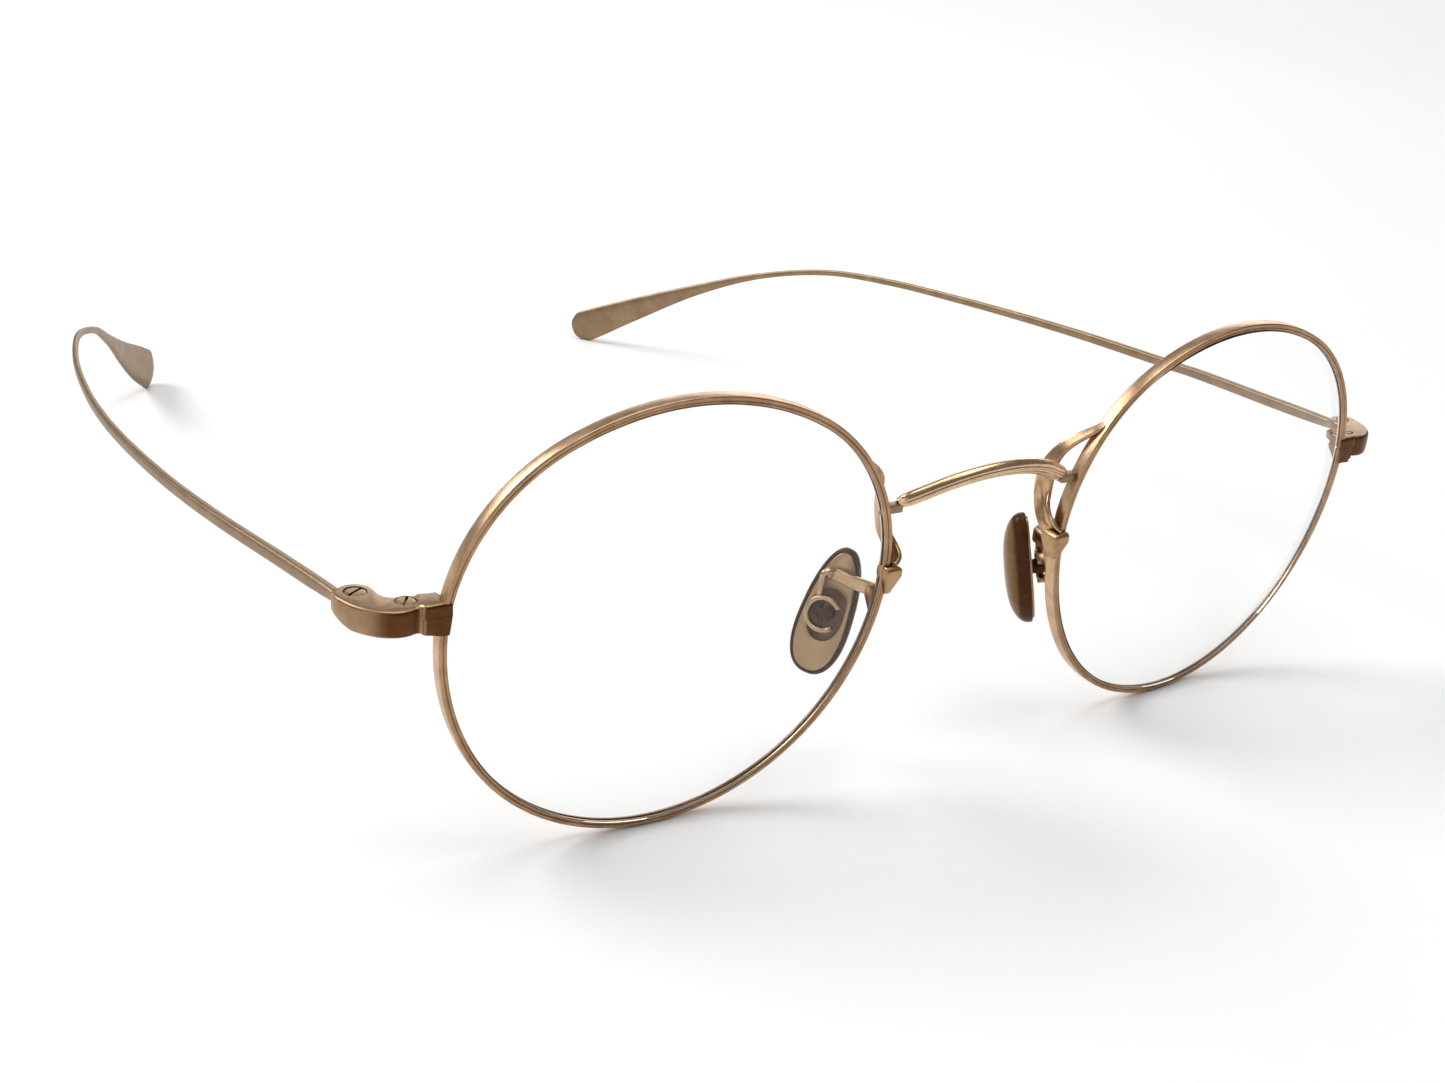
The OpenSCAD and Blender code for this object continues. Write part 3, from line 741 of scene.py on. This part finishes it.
def plate(side, tag):
    hole = []
    for i in range(PAD_STEPS):
        t = 2 * math.pi * i / PAD_STEPS
        hole.append((power(math.cos(t), HOLE_EXP), power(math.sin(t), HOLE_EXP)))

    def inner(g, z):
        return [(HOLE_U + (HOLE_A + g) * x, HOLE_V + (HOLE_B + g) * y, z) for x, y in hole]

    lug = Shape()
    levels = ((0, -0.4), (0, PIN_Z + 0.4), (0.05, PIN_Z + 0.5), (0.14, PIN_Z + 0.55))
    lug.solid([lug.ring([(a, b, z) for a, b in rounded(PAD_LUG_A - d, PAD_LUG_B - d, 0.3)], 0.1)
               for d, z in levels])
    ob = make(f"{tag}_pad_lug", lug.moved(AT_PAD), side)
    finish_piece(ob, brown_pad, f"{tag}_nose_pad", (), 40)

    sh, rings = Shape(), []
    for g, z in ((-0.47, -0.45), (-0.47, 0.08), (-0.5, 0.15), (-0.58, 0.19)):
        rings.append(sh.ring(pad_ring(1, z, g), z))
    for g, z in ((0.12, 0.19), (0.04, 0.16), (0.0, 0.08), (0.0, -0.45)):
        rings.append(sh.ring(inner(g, z), z))
    ob = make(f"{tag}_pad_backplate", sh.loft(rings, closed=True).moved(AT_PAD), side)
    finish_piece(ob, satin, f"{tag}_nose_pad", [f"{tag}_pad_plate"], 40)


def clip():
    """C-shaped band round the pad's lug, thinned at both ends."""
    sh, rings = Shape(), []
    for i in range(CLIP_STEPS + 1):
        t = CLIP_FROM + (CLIP_TO - CLIP_FROM) * i / CLIP_STEPS
        end = min(i, CLIP_STEPS - i)
        k = (0.75, 0.95)[end] if end < 2 else 1
        out = Vector((math.cos(t), math.sin(t), 0))
        c = out * CLIP_R + Vector((0, 0, CLIP_Z))
        rings.append(sh.ring([c + out * a * k + Vector((0, 0, b * k))
                              for a, b in rounded(CLIP_T / 2, CLIP_H / 2, 0.14, 3)], i * 0.1))
    return sh.solid(rings)


def pad_arm(side, tag):
    """Strip that turns from upright at the collar to face the pad, then the clip."""
    rows = [[12.05, -1.2, -0.9], [12.4, -0.4, -0.8], [13.3, 1.8, -0.75], [13.9, 3.6, -0.65],
            on_pad(1.1, 4.1, 1.75), on_pad(1.15, 3.0, 1.5), on_pad(1.1, 2.1, 1.3),
            on_pad(0.9, 1.3, 1.25)]
    path = curve([list(q) for q in rows], ARM_STEPS)
    turned = [min(max((i / ARM_STEPS - 3) / 2, 0), 1) for i in range(len(path))]
    ups = [(Vector((0, 0, 1)) * (1 - f) + PAD_O * f).normalized() for f in turned]

    def section(i, ins):
        return rounded(0.72 - 0.34 * turned[i] - ins, 0.28 - ins, 0.15, 3)

    sh = sweep(path, ups, section, (0.1, 0.12))
    ob = make(f"{tag}_arm_strip", sh.add(clip().moved(AT_PAD)), side)
    finish_piece(ob, arm_metal, "front", [f"{tag}_pad_arm"], 45)
    ob = hull(f"{tag}_arm_blade", BLADE, side, 0.1)
    finish_piece(ob, rim_metal, "front", (), 30)


# ---- end pieces, lock blocks and screws
END_FRONT = [[59.35, 0.3], [60.7, 0.3], [61.9, 0.38], [62.4, 0.88], [63.1, 0.72], [63.9, 0.66],
             [64.8, 0.88], [65.9, 1.5], [66.8, 2.5], [67.5, 3.7], [67.9, 5.0], [68.05, 6.0],
             [68.0, 6.8]]
END_BACK = [[64.2, 5.2], [63.9, 4.4], [63.3, 4.0], [62.3, 4.0], [61.5, 3.5], [60.6, 3.2],
            [59.7, 3.1]]
BOSS_R, END_EDGE, END_BOW = 1.8, 0.3, 0.04
HOOK_LIFT, CREST = 0.8, 0.27
LOCK_FRONT = [[59.35, 0.3], [60.7, 0.3], [61.85, 0.38], [62.08, 0.6], [62.1, 1.52], [62.2, 1.6]]
LOCK_BACK = [[61.5, 3.2], [59.55, 3.1]]
LOCK_R, LOCK_LOW, LOCK_EDGE, LOCK_CLEAR = 1.13, 2.6, 0.03, 0.03
SPLIT_GAP, LUG_CLEAR, BEYOND = 0.01, 0.22, 1
SLOT_HALF, SLOT_DEEP = 0.13, 0.22


def end_piece(side, tag):
    plan = even_loop([q[:2] for q in curve(END_FRONT, 8)]
                     + round_arc(HINGE, BOSS_R, range(40, 184, 5))
                     + [q[:2] for q in curve(END_BACK, 8)])
    shape = pillow(plan, round_levels(Z_LOW, Z_TOP, END_EDGE, END_BOW))
    for q in shape.v:
        lift = HOOK_LIFT * ease((q.y - 3.6) / 3.6) * ease((q.x - 65.8) / 1.6)
        crest = CREST * max(ease((61.8 - q.x) / 0.6),
                            ease((62.5 - q.x) / 0.6) * ease((1.9 - q.y) / 0.9))
        q.z += (lift * (Z_TOP - q.z) + crest * (q.z - Z_LOW)) / (Z_TOP - Z_LOW)
    ob = make(f"{tag}_end_casting", shape, side)

    def drill(at, r, a, b, n=64):
        return disc([(r, a), (r, b)], n).moved(Matrix.Translation((at.x, at.y, 0)))

    hx, hy = HINGE.x, HINGE.y
    z0, z1, split = LUG_Z0 - GAP, LUG_Z1 + GAP, Z_SPLIT + SPLIT_GAP
    under, over = Z_LOW - BEYOND, Z_TOP + BEYOND
    for tool in (drill(HINGE, LUG_R + LUG_CLEAR, z0, z1, 72),
                 box((hx - 5, hy - 0.5, z0), (hx, hy + 5, z1)),
                 box((hx - 2, hy, z0), (hx + LUG_R + LUG_CLEAR, hy + 5, z1)),
                 drill(HINGE, SCREW_R, under, over),
                 drill(HINGE, 1.08, Z_TOP - 0.35, over),
                 drill(LOCK, 1.0, Z_TOP - 0.6, over),
                 box((59.0, 0.0, under), (62.13, 3.3, split)),
                 box((61.0, 1.5, under), (62.32, 3.3, split)),
                 drill(LOCK, LOCK_R + LOCK_CLEAR, under, split)):
        cut(ob, tool, side)
    finish_piece(ob, end_metal, "front", [f"{tag}_end_piece"], 32)


def lock_block(side, tag):
    plan = even_loop(LOCK_FRONT + round_arc(LOCK, LOCK_R, range(-100, 140, 10)) + LOCK_BACK)
    shape = pillow(plan, round_levels(LOCK_LOW, Z_SPLIT, LOCK_EDGE, 0.0))
    for q in shape.v:
        q.y -= 0.9 * ease((Z_SPLIT - q.z) / 2) * ease((q.y - 1.5) / 1.5) * ease(62.1 - q.x)
        q.z += 0.35 * ease((q.x - 60) / 1.8) * (Z_SPLIT - q.z) / 2
        q.x += 0.25 * ease((60.3 - q.x) / 0.9) * (Z_SPLIT - q.z) / 2
    ob = make(f"{tag}_lock_casting", shape, side)
    finish_piece(ob, end_metal, "front", [f"{tag}_lock_block"], 32)


def screw(side, tag, kind, at, r, z_head, deep, shank_r, z_end, turn):
    """Slotted screw: head of radius r and depth deep, shank down to z_end, slot turned by turn."""
    prof = [(0.02, z_end), (shank_r - 0.08, z_end), (shank_r, z_end + 0.1),
            (shank_r, z_head - deep), (r, z_head - deep), (r, z_head - 0.1),
            (r - 0.03, z_head - 0.04), (r - 0.1, z_head - 0.005), (r * 0.6, z_head + 0.03),
            (r * 0.25, z_head + 0.04), (0.02, z_head + 0.04)]
    place = Matrix.Translation((at.x, at.y, 0))
    ob = make(f"{tag}_{kind}_turned", disc(prof, 56).moved(place), side)
    slot = box((-SLOT_HALF, -3, z_head - SLOT_DEEP), (SLOT_HALF, 3, z_head + BEYOND))
    cut(ob, slot.moved(place @ Matrix.Rotation(math.radians(turn), 4, "Z")), side)
    finish_piece(ob, end_metal, "front", [f"{tag}_{kind}"], 30)


# ---- temples: x, y, z, half height and half thickness along the bar
TEMPLE_ROWS = [[66.55, 7.5, 4.2, 0.43, 0.7], [66.6, 8.3, 4.15, 0.47, 0.66],
               [66.7, 9.2, 4.1, 0.6, 0.56], [67.0, 13.5, 3.8, 0.7, 0.57],
               [67.4, 19.4, 3.4, 0.7, 0.56], [68.3, 31.4, 2.6, 0.68, 0.55],
               [68.6, 43.5, 1.7, 0.65, 0.53], [68.3, 55.6, 0.9, 0.62, 0.5],
               [67.3, 67.7, 0.05, 0.58, 0.46], [65.5, 79.6, -0.75, 0.54, 0.4],
               [63.0, 91.5, -1.6, 0.5, 0.37], [59.1, 102.9, -2.95, 0.45, 0.35],
               [53.6, 113.2, -6.05, 0.48, 0.36], [48.1, 122.8, -10.75, 0.9, 0.42],
               [42.4, 131.8, -16.2, 1.85, 0.5], [38.2, 137.7, -20.1, 2.5, 0.5],
               [37.4, 138.8, -20.72, 2.52, 0.5]]
TIP = [[37.0, 139.35, -21.0, 2.33, 0.48], [36.7, 139.8, -21.23, 2.03, 0.45],
       [36.45, 140.15, -21.38, 1.68, 0.42], [36.28, 140.38, -21.48, 1.32, 0.37],
       [36.18, 140.52, -21.54, 0.97, 0.3], [36.12, 140.58, -21.57, 0.55, 0.2]]
BEND_LIFT, BEND_IN = 1.15, 0.3
TIP_WIDER, TIP_LIFT, NECK_DROP = 0.13, 0.3, 0.35
BELLY_WIDER, BELLY_DROP = 0.22, 0.2
NECK_X = 66.6


def reshape_right(q):
    """The right temple's own shape: a higher bend, and a wider tip with a fuller lower edge."""
    y = q[1]
    bend = ease((y - 75) / 32) * ease((141 - y) / 28)
    belly = ease((y - 120) / 8) * ease((138.5 - y) / 5)
    q[0] -= BEND_IN * bend
    q[2] += BEND_LIFT * bend
    q[2] += TIP_LIFT * ease((y - 128) / 10) - NECK_DROP * ease((y - 112) / 8) * ease((138 - y) / 14)
    q[2] -= BELLY_DROP * belly
    q[3] *= 1 + TIP_WIDER * ease((y - 118) / 18)
    q[3] += BELLY_WIDER * belly


def temple(side, tag):
    rows = curve(TEMPLE_ROWS, 10) + [list(q) for q in TIP]
    if side < 0:
        for q in rows:
            reshape_right(q)

    def section(i, ins):
        """A rounded oblong, more oval from the ear bend on."""
        exponent = max(2.2, 2.9 - max(rows[i][1] - 100, 0) / 40)
        return oval(rows[i][3] - ins, rows[i][4] - ins, exponent, 40)

    bar = sweep([q[:3] for q in rows], [Vector((0, 0, 1))] * len(rows), section)
    ob = make(f"{tag}_temple_bar", bar, side)
    finish_piece(ob, matte, f"{tag}_temple_arm", [f"{tag}_temple"], 45)

    chamfer, bore = 0.04, SCREW_R + GAP
    lug, rings = lathe([(bore, LUG_Z0), (LUG_R - chamfer, LUG_Z0), (LUG_R, LUG_Z0 + chamfer),
                        (LUG_R, LUG_Z1 - chamfer), (LUG_R - chamfer, LUG_Z1), (bore, LUG_Z1)])
    lug.loft(rings, closed=True).moved(Matrix.Translation((HINGE.x, HINGE.y, 0)))
    neck = Shape()
    neck.solid([neck.ring([(NECK_X + c, HINGE.y + y, Z_MID + d)
                           for c, d in rounded(half, LUG_H / 2 - 0.005, 0.08, 2)], HINGE.y + y)
                for y, half in ((0.85, 0.64), (1.6, 0.68), (2.4, 0.62))])
    ob = make(f"{tag}_temple_lug", lug.add(neck), side)
    finish_piece(ob, rim_metal, f"{tag}_temple_arm", (), 30)


for side, tag in ((-1, "right"), (1, "left")):
    for build in (rim, lens, bow, pad, plate, pad_arm, end_piece, lock_block):
        build(side, tag)
    screw(side, tag, "lock_screw", LOCK, 0.95, Z_TOP + 0.03, 0.6, 0.5, 2.6, 35)
    screw(side, tag, "hinge_screw", HINGE, 1.03, Z_TOP - 0.04, 0.3, SCREW_R - 0.01,
          Z_LOW - 0.08, 60)
    temple(side, tag)
    # painted shade: the pad pins get the near-black pin material
    pin = frame["nodes"][f"{tag}_pad_pin"]
    pin.data.materials.clear()
    pin.data.materials.append(pin_metal)
bridge()

# ---- floor and light
FLOOR_SIZE, FLOOR_GAP = 4.0, 0.0001
LIGHT_TARGET = Vector((0, 0, 0.02))


def floor_material():
    nt, bsdf, coords, mat = node_tree("pale_floor")
    soft = noise(nt, coords["Object"], 3.0, 2, 0.5)
    tint = ramp(nt, soft, [(0.3, (0.90, 0.90, 0.90)), (0.7, (0.93, 0.93, 0.93))])
    nt.links.new(tint, bsdf.inputs["Base Color"])
    bsdf.inputs["Roughness"].default_value = 0.75
    bsdf.inputs["Specular IOR Level"].default_value = 0.2
    return mat


bm = bmesh.new()
bmesh.ops.create_grid(bm, x_segments=8, y_segments=8, size=FLOOR_SIZE)
me = bpy.data.meshes.new("floor")
bm.to_mesh(me)
bm.free()
me.materials.append(floor_material())
floor = link("floor", me)
floor.location.z = min(CAD_BOX[0][2], 0.0) - FLOOR_GAP


def softbox(name, direction, dist, size, power):
    """Area light at dist metres from the object, of size in metres and power in watts."""
    li = bpy.data.lights.new(name, "AREA")
    li.shape, li.size, li.size_y, li.energy = "RECTANGLE", size[0], size[1], power
    d = Vector(direction).normalized()
    ob = link(name, li)
    ob.location = LIGHT_TARGET + d * dist
    ob.rotation_mode = "QUATERNION"
    ob.rotation_quaternion = (-d).to_track_quat("-Z", "Y")


softbox("key_back_left", (-0.55, 0.50, 0.67), 1.1, (0.6, 0.5), 8)
softbox("top", (0.1, -0.1, 1), 1.2, (1.0, 1.0), 8.5)
softbox("wall_back_right", (0.62, 0.72, 0.30), 1.5, (1.4, 0.6), 6)
softbox("camera_left", (-0.9, -0.45, 0.30), 1.3, (0.7, 0.6), 1.8)

world = bpy.data.worlds.new("studio")
bpy.context.scene.world = world
world.use_nodes = True
background = world.node_tree.nodes["Background"]
background.inputs["Color"].default_value = (1.0, 0.99, 0.98, 1)
background.inputs["Strength"].default_value = 0.2

# ---- camera, at the photograph's viewing angle
AZIMUTH, ELEVATION, ROLL = math.radians(-37.62), math.radians(23.34), math.radians(6.29)
TARGET, DISTANCE = Vector((-25.27, 0, 4.24)), 201.25
LENS_MM, SENSOR_MM, LENS_SHIFT = 51.48, 36.0, (-0.0323, 0.0129)

back = Vector((math.sin(AZIMUTH) * math.cos(ELEVATION), -math.cos(AZIMUTH) * math.cos(ELEVATION),
               math.sin(ELEVATION)))
right = Vector((math.cos(AZIMUTH), math.sin(AZIMUTH), 0))
up = back.cross(right)
cam_x = right * math.cos(ROLL) + up * math.sin(ROLL)
cam_y = up * math.cos(ROLL) - right * math.sin(ROLL)
spot = (TARGET + back * DISTANCE + SHIFT) * MM
cam = bpy.data.cameras.new("camera")
cam.sensor_width, cam.lens = SENSOR_MM, LENS_MM
cam.shift_x, cam.shift_y = LENS_SHIFT
cam.clip_start, cam.clip_end = 0.01, 50
cam_ob = link("camera", cam)
cam_ob.matrix_world = (Matrix.Translation(spot)
                       @ Matrix((cam_x, cam_y, back)).transposed().to_4x4())
scene = bpy.context.scene
scene.camera = cam_ob
scene.view_settings.view_transform = "Standard"
scene.view_settings.look = "None"
